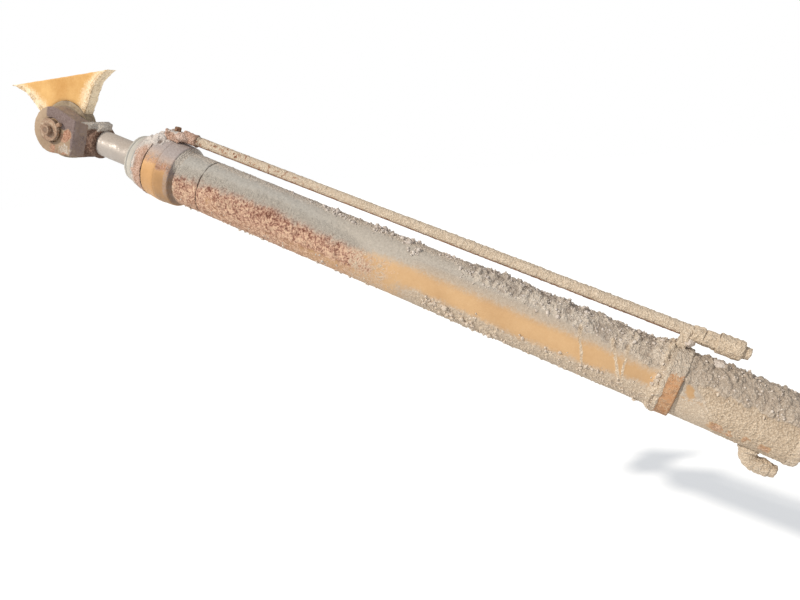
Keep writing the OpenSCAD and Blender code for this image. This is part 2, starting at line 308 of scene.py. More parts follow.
class Graph:
    """Short forms for the nodes of one material."""

    def __init__(self, name):
        self.material = bpy.data.materials.new(name)
        self.material.use_nodes = True
        self.tree = self.material.node_tree
        self.shader = self.tree.nodes["Principled BSDF"]
        self.place = new_node(self.tree, "TexCoord", {}, "Object")

    def noise(self, size, detail, roughness):
        inputs = {"Scale": 1.0 / size, "Detail": detail, "Roughness": roughness, "Vector": self.place}
        return new_node(self.tree, "TexNoise", inputs, "Fac")

    def cells(self, size):
        return new_node(self.tree, "TexVoronoi", {"Scale": 1.0 / size, "Vector": self.place}, "Distance")

    def mask(self, name):
        return new_node(self.tree, "Attribute", {}, "Fac", attribute_name=name)

    def math(self, operation, a, b):
        return new_node(self.tree, "Math", {0: a, 1: b}, "Value", operation=operation)

    add = partialmethod(math, "ADD")
    less = partialmethod(math, "SUBTRACT")
    times = partialmethod(math, "MULTIPLY")

    def weighted(self, *terms):
        """Sum of values, each times its weight."""
        return reduce(self.add, [self.times(value, weight) for value, weight in terms])

    def span(self, value, low, high, out_low=0.0, out_high=1.0):
        inputs = {"Value": value, "From Min": low, "From Max": high, "To Min": out_low, "To Max": out_high}
        return new_node(self.tree, "MapRange", inputs, "Result", interpolation_type="SMOOTHSTEP")

    def ramp(self, value, places, colours):
        node = self.tree.nodes.new("ShaderNodeValToRGB")
        elements = node.color_ramp.elements
        while len(elements) > 1:
            elements.remove(elements[0])
        elements[0].position = places[0]
        elements[0].color = (*colours[0], 1.0)
        for place, colour in zip(places[1:], colours[1:]):
            elements.new(place).color = (*colour, 1.0)
        fill(self.tree, node.inputs["Fac"], value)
        return node.outputs["Color"]

    def mix(self, share, a, b):
        """Mixes two colours. Inputs 6 and 7 and output 2 of the node are its colour sockets."""
        return new_node(self.tree, "Mix", {0: share, 6: a, 7: b}, 2, data_type="RGBA")

    def bump(self, height, distance):
        inputs = {"Strength": 1.0, "Distance": distance, "Height": height}
        return new_node(self.tree, "Bump", inputs, "Normal")

    def drive(self, name, value):
        fill(self.tree, self.shader.inputs[name], value)


# Colours from dark to pale, in linear light
GREY_MUD = ((0.5, 0.44, 0.375), (0.77, 0.71, 0.635))
WARM_MUD = ((0.5, 0.385, 0.27), (0.76, 0.62, 0.465))
PINK_MUD = ((0.42, 0.255, 0.18), (0.68, 0.49, 0.4))
GREY_DUST = ((0.33, 0.31, 0.28), (0.475, 0.445, 0.4))
WARM_DUST = ((0.46, 0.365, 0.27), (0.6, 0.49, 0.375))
VIOLET_DUST = ((0.33, 0.27, 0.25), (0.46, 0.4, 0.375))
LIP_DUST = ((0.3, 0.31, 0.3), (0.42, 0.43, 0.41))
SALMON = ((0.2, 0.08, 0.05), (0.5, 0.28, 0.2), (0.79, 0.54, 0.37))
BROWN_RUST = ((0.12, 0.06, 0.036), (0.24, 0.13, 0.075), (0.38, 0.225, 0.135))
# Colour of the dark mask: grime, and painted shade where the masks darken hollows, creases and shaded zones
GRIME_AND_SHADE = (0.1, 0.058, 0.04)
CRACK = (0.06, 0.032, 0.022)
# Where the ramps of paint, rust, dust and soil have their colours
PAINT_STOPS = (0.36, 0.64)
RUST_STOPS = (0.4, 0.49, 0.58)
DUST_STOPS = (0.36, 0.6)
SOIL_STOPS = (0.5, 0.74)


def weathered(name, paint, metallic=0, gloss=0.45, rust=SALMON, grey=GREY_MUD, warm=WARM_MUD,
              dust=GREY_DUST, warm_dust=WARM_DUST, grain=0.0055, depth=0.0032):
    """Material of worn paint or steel under rust, dust and mud, as the masks of its mesh say."""
    g = Graph(name)
    large = g.noise(0.1, 4, 0.55)
    mid = g.noise(0.026, 5, 0.62)
    small = g.noise(0.013, 4, 0.6)
    fine = g.noise(0.0065, 5, 0.68)
    grit = g.noise(0.0028, 3, 0.6)
    grains = g.less(1, g.cells(grain))
    warmth = g.mask("warm")
    colour = g.ramp(g.weighted((large, 0.75), (fine, 0.25)), PAINT_STOPS, paint)
    # Rust, as flakes with a ragged edge
    ragged = g.weighted((g.less(mid, 0.5), 0.6), (g.less(fine, 0.5), 0.9))
    rust_share = g.span(g.add(g.mask("rust"), ragged), 0.24, 0.74)
    speckle = g.weighted((fine, 0.6), (grit, 0.4))
    flakes = g.weighted((small, 0.25), (speckle, 0.75), (g.less(warmth, 0.5), 0.07), (g.less(mid, 0.5), 0.25))
    colour = g.mix(rust_share, colour, g.ramp(flakes, RUST_STOPS, rust))
    # Dust, grey or warm
    dust_share = g.span(g.add(g.mask("dust"), g.times(ragged, 0.85)), 0.05, 0.95)
    dusty = g.mix(warmth, g.ramp(speckle, DUST_STOPS, dust), g.ramp(speckle, DUST_STOPS, warm_dust))
    colour = g.mix(dust_share, colour, dusty)
    # Mud, grey or warm
    mud_share = g.span(g.add(g.mask("mud"), g.times(g.less(flakes, 0.5), 1.1)), 0.28, 0.66)
    clod = g.weighted((grains, 0.35), (flakes, 0.75))
    soil = g.mix(warmth, g.ramp(clod, SOIL_STOPS, grey), g.ramp(clod, SOIL_STOPS, warm))
    colour = g.mix(mud_share, colour, soil)
    # The dark mask pulls the colour towards grime and painted shade
    colour = g.mix(g.times(g.mask("dark"), 0.9), colour, GRIME_AND_SHADE)
    colour = g.mix(g.span(g.mask("crack"), 0.3, 0.8), colour, CRACK)
    g.drive("Base Color", colour)
    # Dirt is matt, and only bare paint or steel shines
    cover = g.math("MAXIMUM", g.math("MAXIMUM", rust_share, dust_share), mud_share)
    if metallic:
        g.drive("Metallic", g.times(g.less(1, cover), metallic))
    worn = g.span(mid, 0.3, 0.7, gloss - 0.06, gloss + 0.1)
    g.drive("Roughness", g.add(worn, g.times(cover, g.less(0.95, worn))))
    g.drive("Specular IOR Level", 0.3)
    soil_height = g.less(g.weighted((small, 0.8), (grains, 0.9)), 0.9)
    rust_height = g.times(g.less(flakes, 0.5), 3)
    dust_height = g.times(g.less(fine, 0.5), 0.45)
    height = g.weighted((soil_height, mud_share), (rust_share, rust_height), (dust_share, dust_height),
                        (mid, 0.12))
    g.drive("Normal", g.bump(height, depth))
    return g.material


ORANGE = weathered("orange_paint", ((0.495, 0.3, 0.145), (0.575, 0.365, 0.185)))
COLLAR = weathered(
    "collar_paint", ((0.5, 0.275, 0.115), (0.68, 0.38, 0.155)), dust=VIOLET_DUST,
    warm_dust=((0.42, 0.3, 0.24), (0.55, 0.43, 0.36)),
    rust=((0.2, 0.075, 0.04), (0.46, 0.22, 0.14), (0.62, 0.38, 0.27)))
BAND = weathered(
    "band_paint", ((0.42, 0.21, 0.09), (0.54, 0.3, 0.155)),
    rust=((0.24, 0.09, 0.036), (0.46, 0.215, 0.096), (0.66, 0.41, 0.235)),
    warm=((0.54, 0.425, 0.315), (0.86, 0.73, 0.565)))
GUSSET = weathered(
    "bracket_paint", ((0.58, 0.3, 0.085), (0.76, 0.46, 0.17)), warm=((0.66, 0.46, 0.26), (0.92, 0.77, 0.56)),
    warm_dust=((0.86, 0.66, 0.42), (0.98, 0.84, 0.62)),
    rust=((0.16, 0.06, 0.03), (0.38, 0.18, 0.08), (0.62, 0.38, 0.18)))
# The eye's dust colours are dark: on its near face and side wall they are painted shade
EYE = weathered(
    "eye_steel", ((0.28, 0.19, 0.12), (0.46, 0.335, 0.225)), rust=BROWN_RUST,
    dust=((0.135, 0.1, 0.095), (0.235, 0.185, 0.18)), warm_dust=((0.15, 0.1, 0.09), (0.26, 0.2, 0.185)),
    warm=((0.34, 0.16, 0.1), (0.6, 0.36, 0.25)))
BOSS = weathered(
    "boss_steel", ((0.2, 0.145, 0.085), (0.4, 0.3, 0.18)), rust=BROWN_RUST,
    dust=((0.26, 0.225, 0.18), (0.42, 0.375, 0.31)), warm_dust=((0.26, 0.2, 0.135), (0.42, 0.33, 0.24)))
FASTENER = weathered("fastener", ((0.22, 0.12, 0.075), (0.38, 0.235, 0.15)), rust=BROWN_RUST, metallic=0.2)
PLUG = weathered("plug", ((0.09, 0.03, 0.018), (0.2, 0.075, 0.04)), rust=BROWN_RUST)
TUBE = weathered(
    "tube_paint", ((0.5, 0.37, 0.26), (0.68, 0.54, 0.4)), grain=0.0045,
    rust=((0.14, 0.05, 0.03), (0.34, 0.17, 0.1), (0.56, 0.36, 0.24)))
NOSE = weathered(
    "gland_steel", ((0.45, 0.3, 0.22), (0.58, 0.42, 0.32)), warm=PINK_MUD,
    grey=((0.56, 0.51, 0.46), (0.86, 0.82, 0.77)))
LIP = weathered(
    "wiper", ((0.44, 0.41, 0.36), (0.6, 0.55, 0.47)), gloss=0.6, dust=LIP_DUST, warm_dust=LIP_DUST)
ROD = weathered(
    "rod_chrome", ((0.43, 0.385, 0.345), (0.55, 0.5, 0.46)), metallic=0.45, gloss=0.36,
    dust=((0.4, 0.365, 0.33), (0.55, 0.52, 0.48)), warm_dust=((0.33, 0.25, 0.19), (0.44, 0.35, 0.28)))
BRONZE = weathered("bush_bronze", ((0.2, 0.12, 0.06), (0.32, 0.2, 0.1)), metallic=0.5, gloss=0.5)
STEEL = weathered("plain_steel", ((0.34, 0.31, 0.28), (0.44, 0.41, 0.37)), metallic=0.7, gloss=0.4)
CRUMB = weathered(
    "crumb", ((0.58, 0.52, 0.46), (0.7, 0.64, 0.58)), depth=0.0022,
    grey=((0.56, 0.505, 0.47), (0.8, 0.745, 0.7)), warm=((0.54, 0.43, 0.33), (0.78, 0.66, 0.52)))


# Barrel: grey dust on top, salmon rust low at the head, an orange strip in the middle, mud towards the base
def barrel_masks(own):
    """The barrel's masks, the shares of its kinds of dirt, and the side of each point."""
    s = own[:, 0]
    side = side_of(own)
    patchy = wave(own, 0.045, 4)
    fleck = wave(own, 0.02, 5)
    strokes = wave(stretched(own, 0.007, 0.02, 0, 211), 1, 6)
    # Dust, down to an edge that is ragged at the head and smooth further back
    dusty_to = np.interp(s, (0.53, 0.6, 0.68, 0.76, 0.9, 1.02, 1.15, 1.25, 1.36, 1.9, 2, 2.15),
                         (73, 70, 63, 65, 60, 64, 69, 71, 64, 65, 66, 69))
    soft = 17
    ragged = np.interp(s, (1.1, 1.35), (1, 0.25))
    reach = side + ragged * (8 * patchy + 4 * fleck + 5 * strokes)
    dust = fade(reach, dusty_to - 0.8 * soft, dusty_to + np.interp(s, (1.1, 1.4), (1.5, 1)) * soft)
    # Rust below it, thinner at the bottom and in one pale patch
    ends = step(s - 0.0012 * (side - 90) + 0.04 * patchy + 0.04 * fleck, 1.18, 1.38)
    rusty = step(reach, dusty_to - 2 * soft, dusty_to - 0.2 * soft) * (1 - ends)
    pale_patch = bump_at(s + 0.01 * patchy, 0.678, 0.03) * bump_at(side + 6 * patchy, 100, 15)
    thinned = (0.3 + 0.2 * step(s, 0.9, 1.12)) * step(side + 6 * strokes, 98, 120)
    rusty = rusty * (1 - 0.45 * pale_patch) * (1 - thinned)
    # Beige speckle between the rust and the orange strip
    mixed = window(s + 0.03 * patchy + 0.02 * fleck, 1.19, 1.37, 0.05) * step(side, 58, 82)
    # Pale soil on the lower side
    low_edge = np.interp(s, (1.3, 1.4, 1.6, 1.75, 1.95, 2.05, 2.12, 2.18),
                         (96, 105, 106, 110, 109, 104, 96, 91))
    pale_low = step(side + 4 * patchy + 4 * fleck, low_edge - 12, low_edge + 12) * step(s, 1.3, 1.46)
    # Thick mud on top, and a bead of it in front of the band
    top_edge = np.interp(s, (1.45, 1.6, 1.7, 1.85, 2, 2.08, 2.18),
                         (26, 38, 44, 46, 54, 61, 66))
    crust = step(s + 0.05 * patchy + 0.02 * fleck, 1.5, 1.58)
    crust = crust * fade(side + 7 * patchy + 8 * fleck, top_edge - 4, top_edge + 4)
    bead = bump_at(s, BEAD + 0.003 * patchy, 0.014)
    # Thin runs of mud across the strip: place, lean in metres a degree, and width
    runs = 0
    for place, lean, width in ((1.938, 0.00065, 0.006), (2.035, 0.0009, 0.0062), (2.07, 0.0003, 0.0042)):
        line = place + lean * (side - 60) + 0.005 * patchy
        runs = most(runs, bump_at(s, line, width) * window(side, 46, 112, 6) * (0.78 + 0.35 * fleck))
    # Behind the band: fine grains, a bare spot, and a rusty streak in three pieces low down
    past = step(s, BAND_BACK - 0.01, BAND_BACK)
    grains_from = np.interp(side, (0, 60, 80, 115, 150), (2.262, 2.268, 2.3, 2.33, 2.36))
    grainy = step(s + 0.012 * patchy + 0.005 * fleck, grains_from - 0.012, grains_from + 0.012)
    spot = np.hypot((s - 2.26 - 0.0006 * (side - 80)) / 0.015, (side - 80) / 12)
    bare = fade(spot + 0.45 * fleck + 0.35 * wave(own, 0.01, 8), 0.35, 1.25)
    pieces = most(window(s, 2.335, 2.405, 0.01), window(s, 2.425, 2.447, 0.006), window(s, 2.468, 2.5, 0.006))
    streak = window(side + 4 * fleck, 117, 137, 4) * pieces * patches(own, 0.02, 77, 0.26, 0.42)
    # All of it together
    dust = np.where(s > BAND_BACK, 1 - bare, dust)
    dust = most(dust * (1 - pale_low), 0.85 * pale_low) * (1 - streak)
    rusty = most(rusty, 0.58 * streak, 0.42 * mixed)
    cover = most(0.5 * pale_low * (1 - past), past * (0.45 + 0.55 * grainy) * (1 - bare))
    # Painted light: pale grey mud over the top of the barrel lightens the top, as if it were lit from above
    painted_light_top = 0.72 * fade(side + 8 * fleck, 6, 40) * (1 - past)
    mud = most(crust, cover * (1 - 0.95 * streak), runs, step(bead, 0.3, 0.6), 0.4 * mixed, painted_light_top)
    warm = most(0.3 * step(s, 0.95, 1.2), 0.85 * pale_low, 0.55 * past + 0.4 * past * grainy, 0.9 * mixed,
                rusty * (0.3 + 0.7 * step(side, 78, 112)),
                0.75 * step(s, 1.25, 1.5) * step(side, 35, 58) * (1 - past))
    warm = np.where(crust > 0.5, 0.18 + 0.3 * step(s, 1.9, 2.15), warm)
    warm = most(warm, 0.9 * step(runs, 0.05, 0.3), 0.8 * step(bead, 0.3, 0.6))
    low, scaly = pale_low * (1 - past), rusty * (1 - past) * (1 - dust)
    kinds = crust, low, scaly, bead, past * grainy, past * (1 - grainy), runs
    return dict(mud=mud, dust=dust, rust=rusty, warm=warm), kinds, side


def barrel_relief(own):
    """The barrel's masks, and the height of its mud, rust and dust."""
    masks, (crust, low, scaly, bead, rear, smooth, runs), side = barrel_masks(own)
    s = own[:, 0]
    # Clods of the thick mud
    big = lumps(stretched(own, 0.019, 0.031, 0.009, 201), 1, 41)
    small = lumps(stretched(own, 0.008, 0.013, 0.003, 203), 1, 43)
    ridges = (1 - np.abs(wave(stretched(own, 0.02, 0.04, 0, 205), 1, 45))) ** 3
    thick = 0.0004 + 0.0076 * big ** 0.8 + 0.0026 * small + 0.0034 * ridges
    thick *= 0.55 + 0.75 * patches(own, 0.045, 46, 0.34, 0.6)
    # Granules and clumps sown on the pale soil below
    granules = lumps(stretched(own, 0.009, 0.013, 0.003, 207), 1, 47)
    clumps = lumps(stretched(own, 0.015, 0.024, 0.006, 209), 1, 61)
    clumped = 0.6 * window(s, 1.46, 2.14, 0.02) + 0.4 * window(s, 1.46, 1.7, 0.02)
    sown = 0.007 * np.clip(granules - 0.4, 0, 1) * patches(own, 0.035, 48, 0.44, 0.6)
    sown += 0.011 * np.clip(clumps - 0.38, 0, 1) * clumped * patches(own, 0.04, 64, 0.44, 0.54)
    # Scales of rust, and grains behind the band
    flat_scale = 0.001 * patches(own, 0.022, 49, 0.47, 0.52)
    lifted = np.clip(lumps(own, 0.01, 50) - 0.2, 0, 1)
    scale = flat_scale + 0.003 * lifted * patches(own, 0.03, 52, 0.4, 0.56)
    scale += 0.0012 * wave(own, 0.008, 53)
    grains = 0.0026 * lumps(own, 0.01, 54) * patches(own, 0.03, 55, 0.35, 0.55)
    grains += 0.002 * lumps(own, 0.0058, 56)
    coarse = 1 + 0.4 * window(s, 2.25, 2.34, 0.03) * fade(side, 45, 70)
    height = crust * thick + low * (0.0004 + sown + 0.0008 * small) * (1 - crust)
    height += scaly * scale
    height += bead * (0.0035 + 0.006 * big ** 0.8 + 0.003 * small)
    height += rear * grains * coarse + smooth * 0.0008 * small
    height += 0.0016 * np.clip(runs, 0, 1)
    # Specks on the bare dust on top
    bare_dust = (1 - np.clip(4 * masks["mud"] - 3, 0, 1)) * (1 - scaly) * fade(side, 55, 80)
    specks = np.clip(lumps(own, 0.01, 62) - 0.45, 0, 1) * patches(own, 0.05, 66, 0.42, 0.6)
    height += bare_dust * (0.0009 * wave(own, 0.012, 60) + 0.005 * specks)
    # Painted shade: darker hollows between clods, scales and grains, and the shade that the photo shows on
    # three flat zones, one of them the band's shadow just behind it
    shaded_pits = 0.34 * patches(own, 0.03, 57, 0.38, 0.6) * fade(scale, -0.0004, 0.0008)
    masks["dark"] = most(
        crust * (0.06 + 0.44 * fade(thick, 0.0012, 0.0052)) * (1 - 0.8 * bead),
        scaly ** 2 * shaded_pits,
        rear * (0.26 - 0.16 * step(grains, 0.0002, 0.0016)),
        0.13 * low * fade(sown, 0.0001, 0.0012),
        0.14 * window(side, 55, 112, 8) * step(s, 1.93, 2.1) * fade(masks["mud"], 0.2, 0.5),
        step(s, BAND_BACK, BAND_BACK + 0.01) * (0.34 - 0.28 * step(side, 45, 105)),
        (0.19 - 0.06 * step(side, 60, 68)) * step(s, 1.28, 1.5) * window(side, 46, 74, 6),
    )
    return masks, height


def barrel_piece():
    """The tube itself, which shows at the back and lies a little deeper below the skins."""
    angles = np.radians(np.concatenate([np.arange(-60.0, 172.0, 4.0), np.arange(172.0, 300.0, 6.0)]))
    # Corners of the tube's section: s, radius, and the longest step to the next corner
    corners = [(BARREL_FRONT, BARREL_R, 0.009), (BARREL_END, BARREL_R, 0.02),
               (BARREL_END, BORE_R, 0.3), (BARREL_FRONT, BORE_R, 0.02)]
    outline = []
    for (s0, r0, longest), (s1, r1, _) in zip(corners, corners[1:] + corners[:1]):
        parts = max(1, math.ceil(math.hypot(s1 - s0, r1 - r0) / longest))
        outline += [(s0 + (s1 - s0) * j / parts, r0 + (r1 - r0) * j / parts) for j in range(parts)]
    outline = np.array(outline)
    rows, sides = len(outline), len(angles)
    own = np.zeros((rows, sides, 3))
    own[..., 0] = outline[:, :1]
    own[..., 1] = -outline[:, 1:] * np.sin(angles)
    own[..., 2] = outline[:, 1:] * np.cos(angles)
    own = own.reshape(-1, 3)
    mesh = build(own, [(a * sides + k, b * sides + k, b * sides + m, a * sides + m)
                       for a, b in ring_pairs(rows) for k, m in ring_pairs(sides)])
    masks, _ = barrel_relief(own)
    outer = radius_of(own) > BARREL_R - 1e-4
    covered = window(angle_of(own), -50, 162, 4) * window(own[:, 0], 0.545, 2.53, 0.008)
    push(mesh, np.where(outer, -0.0005 - 0.0024 * covered, 0))
    add_masks(mesh, masks)
    return finish_piece(mesh, "barrel", ORANGE, nodes=["barrel_tube"])


def skin(name, profile, s_range, a_range, s_step, a_step, relief, material, sink=0, finer=()):
    """Finely meshed sheet on a round body, with its relief and masks. Its profile is a table of s and radius.
    Its sides sink into the body, and its ends by the depth sink. The stretch finer has rows 1 mm apart."""
    along = np.linspace(*s_range, int(round((s_range[1] - s_range[0]) / s_step)) + 1)
    if finer:
        outside = along[(along < finer[0]) | (along > finer[1])]
        along = np.sort(np.concatenate([outside, np.arange(finer[0], finer[1], 0.001)]))
    turn = np.radians(np.linspace(*a_range, int(round((a_range[1] - a_range[0]) / a_step)) + 1))
    s, a = np.meshgrid(along, turn, indexing="ij")
    r = np.interp(s, *profile)
    flat = np.stack([s, -r * np.sin(a), r * np.cos(a)], -1).reshape(-1, 3)
    masks, height = relief(flat)
    edge = np.minimum(a - turn[0], turn[-1] - a).ravel() * BARREL_R
    height = height - SIDE_SINK * fade(edge, 0, SINK_REACH)
    height = height - sink * fade(s.ravel() - along[0], 0, SINK_REACH)
    height = height - sink * fade(along[-1] - s.ravel(), 0, SINK_REACH)
    out = r.ravel() + height
    own = np.stack([s.ravel(), -out * np.sin(a.ravel()), out * np.cos(a.ravel())], -1)
    rows, cols = s.shape
    faces = [(i * cols + j, (i + 1) * cols + j, (i + 1) * cols + j + 1, i * cols + j + 1)
             for i in range(rows - 1) for j in range(cols - 1)]
    mesh = bpy.data.meshes.new(name)
    mesh.from_pydata(to_row(own).tolist(), [], faces)
    mesh.flip_normals()
    add_masks(mesh, masks)
    return finish_piece(mesh, name, material)


def head_relief(own):
    """The barrel's relief with the seam behind the head, and mud on its front lip."""
    masks, height = barrel_relief(own)
    s = own[:, 0]
    seam = bump_at(s + 0.0018 * wave(own, 0.02, 58), SEAM, 0.0024)
    masks["crack"] = seam * (0.55 + 0.45 * patches(own, 0.03, 51, 0.3, 0.5))
    lip = bump_at(s, BARREL_FRONT + 0.003, 0.003)
    masks["mud"] = most(masks["mud"], 0.55 * lip * patches(own, 0.02, 59, 0.35, 0.5))
    return masks, height - 0.0026 * seam


barrel_piece()
skin("barrel_skin_head", ROUND_BARREL, (BARREL_FRONT, SKIN_JOINTS[0]), SKIN_SIDES, 0.0029, 1.7, head_relief,
     ORANGE, finer=(SEAM - 0.01, SEAM + 0.01))
for name, front, back in (("middle", *SKIN_JOINTS), ("rear", SKIN_JOINTS[1], BAND_FRONT + 0.004),
                          ("base", BAND_BACK - 0.004, BARREL_END)):
    skin("barrel_skin_" + name, ROUND_BARREL, (front, back), SKIN_SIDES, 0.0022, 1.5, barrel_relief, ORANGE)


# Heap of pale mud on the head, and dust that fills the groove behind the collar, pale as painted light
def heap_relief(own):
    """Pile of mud on top of the head, with a hole in it that is darkened as painted shade."""
    s = own[:, 0]
    angle = angle_of(own)
    fleck = wave(own, 0.018, 91)
    pile = fade(np.hypot((s - 0.396) / 0.052, (angle - 2) / 38) + 0.35 * fleck, 0.5, 1.1)
    core = fade(np.hypot((s - 0.402) / 0.04, (angle - 2) / 30) + 0.25 * fleck, 0.2, 1)
    shaded_hole = fade(np.hypot((s - 0.421) / 0.009, (angle - 27) / 6) + 0.2 * fleck, 0.6, 1.1)
    height = pile * (0.003 + 0.009 * lumps(own, 0.019, 95) + 0.005 * lumps(own, 0.009, 96)) + 0.012 * core
    height = height * (1 - 0.8 * shaded_hole) - 0.003 * fade(pile, 0.02, 0.1)
    warm = 0.12 + 0.3 * step(wave(own, 0.02, 98), 0.2, 0.6)
    return dict(mud=1, warm=warm, dark=0.85 * shaded_hole + 0.25 * fade(pile, 0.1, 0.4)), height


def fill_relief(own):
    """Dust in the groove, on its upper side, kept pale as painted light over the shade that the collar casts
    there.
    """
    fleck = wave(own, 0.015, 83)
    bare = step(side_of(own) + 8 * fleck, 48, 84)
    return dict(mud=0.9, dust=1, warm=0.05, dark=0.25 * bare), 0.0006 * fleck - 0.016 * bare


skin("head_mud", HEAD_PROFILE, (0.345, 0.47), (-45, 62), 0.0018, 1.2, heap_relief, CRUMB, sink=0.002)
skin("groove_dust_and_light", GROOVE_PROFILE, (0.512, 0.541), (-70, 88), 0.0018, 1.5, fill_relief, ORANGE, sink=0.002)


# Lumps of mud at the port block, behind the band and under the saddle
LUMP_CLOD = 0.012
LUMP_ROUGHNESS = 0.22


def blob(name, middle, radii, seed, warm, material):
    """Rounded lump of mud with clods on it, in the cylinder's own axes."""
    turn = np.radians(np.arange(0.0, 360.0, 7.5))
    rise = np.radians(np.linspace(-84.0, 84.0, 24))
    e, a = np.meshgrid(rise, turn, indexing="ij")
    ball = np.stack([np.cos(e) * np.cos(a), np.cos(e) * np.sin(a), np.sin(e)], -1).reshape(-1, 3)
    own = np.array(middle) + ball * np.array(radii)
    stretch = 1 + LUMP_ROUGHNESS * (lumps(own, LUMP_CLOD, seed) - 0.4)
    stretch += 0.5 * LUMP_ROUGHNESS * wave(own, LUMP_CLOD * 1.6, seed + 3)
    own = np.array(middle) + ball * np.array(radii) * stretch[:, None]
    rows, cols = e.shape
    faces = [(i * cols + j, i * cols + m, (i + 1) * cols + m, (i + 1) * cols + j)
             for i in range(rows - 1) for j, m in ring_pairs(cols)]
    faces += [tuple(range(cols))[::-1], tuple((rows - 1) * cols + j for j in range(cols))]
    mesh = build(own, faces)
    add_masks(mesh, dict(mud=1, warm=warm))
    return finish_piece(mesh, name, material)


blob("port_mud", (0.478, -0.012, 0.128), (0.03, 0.022, 0.015), 301, 0.8, NOSE)
blob("rear_lump", (2.305, -0.006, 0.09), (0.03, 0.026, 0.016), 303, 0.35, CRUMB)
blob("saddle_mud", (2.206, 0, 0.121), (0.02, 0.024, 0.016), 305, 0.5, CRUMB)


# Loose crumbs of mud on the barrel: twenty-sided grains, thrown at random and kept where the photo has them
THROWN = 30000
PHI = (1.0 + 5.0 ** 0.5) / 2.0
GRAIN_CORNERS = np.array([
    (-1, PHI, 0), (1, PHI, 0), (-1, -PHI, 0), (1, -PHI, 0), (0, -1, PHI), (0, 1, PHI),
    (0, -1, -PHI), (0, 1, -PHI), (PHI, 0, -1), (PHI, 0, 1), (-PHI, 0, -1), (-PHI, 0, 1),
], float) / math.hypot(1.0, PHI)
GRAIN_FACES = [
    (0, 11, 5), (0, 5, 1), (0, 1, 7), (0, 7, 10), (0, 10, 11), (1, 5, 9), (5, 11, 4), (11, 10, 2),
    (10, 7, 6), (7, 1, 8), (3, 9, 4), (3, 4, 2), (3, 2, 6), (3, 6, 8), (3, 8, 9), (4, 9, 5),
    (2, 4, 11), (6, 2, 10), (8, 6, 7), (9, 8, 1),
]


def crumbs():
    pick = np.random.default_rng(11)
    s = pick.uniform(0.55, 2.53, THROWN)
    angle = pick.uniform(-180.0, 180.0, THROWN)
    turn = np.radians(angle)
    own = np.stack([s, -BARREL_R * np.sin(turn), BARREL_R * np.cos(turn)], -1)
    masks, height = barrel_relief(own)
    side = np.abs(angle)
    ahead = fade(s, 2.16, 2.17)
    clump = patches(own, 0.045, 81, 0.5, 0.6)
    chance = most(
        0.95 * window(s, 1.05, 1.52, 0.04) * fade(side + 5 * wave(own, 0.04, 83), 10, 30) * clump,
        0.1 * step(s, 0.8, 1) * fade(side, 8, 16) * ahead,
        0.9 * bump_at(s, 1.392, 0.012) * window(side, 26, 46, 4),
        0.62 * step(s, 1.4, 1.46) * window(side, 108, 138, 5) * clump * ahead,
        0.05 * step(s, 1.42, 1.5) * window(side, 98, 150, 5) * ahead,
        0.2 * step(s, 1.5, 1.6) * fade(side, 48, 58) * ahead,
        0.5 * bump_at(s, BEAD, 0.012),
        0.1 * step(s, 2.26, 2.3) * fade(side, 60, 80),
        0.05 * step(side, 100, 125) * fade(s, 1.25, 1.35),
    )
    keep = pick.uniform(0.0, 1.0, THROWN) < chance
    keep &= ~((s > BAND_FRONT) & (s < BAND_BACK))
    size = pick.lognormal(-5.95, 0.42, THROWN).clip(0.0013, 0.0068)
    size *= 1 + 0.6 * window(s, 1.46, 1.68, 0.02) * step(side, 100, 104) + 0.3 * window(s, 1.05, 1.42, 0.02)
    points, faces, soil = [], [], []
    for index, k in enumerate(np.flatnonzero(keep)):
        grain = GRAIN_CORNERS * size[k] * pick.uniform(0.65, 1.25, (12, 1)) * pick.uniform(0.7, 1.3, 3)
        out = np.array([0, -math.sin(turn[k]), math.cos(turn[k])])
        points.append(own[k] + out * (height[k] + 0.15 * size[k]) + grain)
        faces.extend([tuple(c + 12 * index for c in face) for face in GRAIN_FACES])
        soil.append(np.full(12, masks["warm"][k]))
    mesh = build(np.concatenate(points), faces)
    add_masks(mesh, dict(mud=1, warm=np.concatenate(soil)))
    return finish_piece(mesh, "mud_crumbs", CRUMB)


crumbs()


# Every other CAD node, as a finely meshed copy with rounded edges, masks of dirt and painted shade, and
# relief
def plain_masks(own, up, mud=0.3, dust=0.6, rust=0.4):
    wobble = rough(own, 0.06, 100)
    fleck = rough(own, 0.02, 103)
    return dict(
        mud=mud * step(wobble + 0.5 * (fleck - 0.5), 0.3, 0.52),
        dust=dust * step(up + 0.8 * (wobble - 0.5), -0.1, 0.7),
        rust=rust * step(fleck + 0.6 * (wobble - 0.5), 0.4, 0.6),
        warm=0.6,
    )


def dress(node, body, slot, material, voxel=0.0025, rounding=2, relief=0.0008, detail=None, dirt={}):
    """Covers a CAD node. detail(own, facing) gives masks that replace the plain ones, and an extra height."""
    mesh = copied(node, voxel, rounding)
    own = to_own(coordinates(mesh))
    facing = normals(mesh)
    masks = plain_masks(own, facing[:, 2], **dirt)
    extra = 0
    if detail:
        replaced, extra = detail(own, facing)
        masks.update(replaced)
    height = relief * wave(own, 0.015, 7) + 4 * relief * masks["mud"] * lumps(own, 0.013, 8)
    push(mesh, height + extra)
    add_masks(mesh, masks)
    return finish_piece(mesh, node + "_worn", material, body, [node])


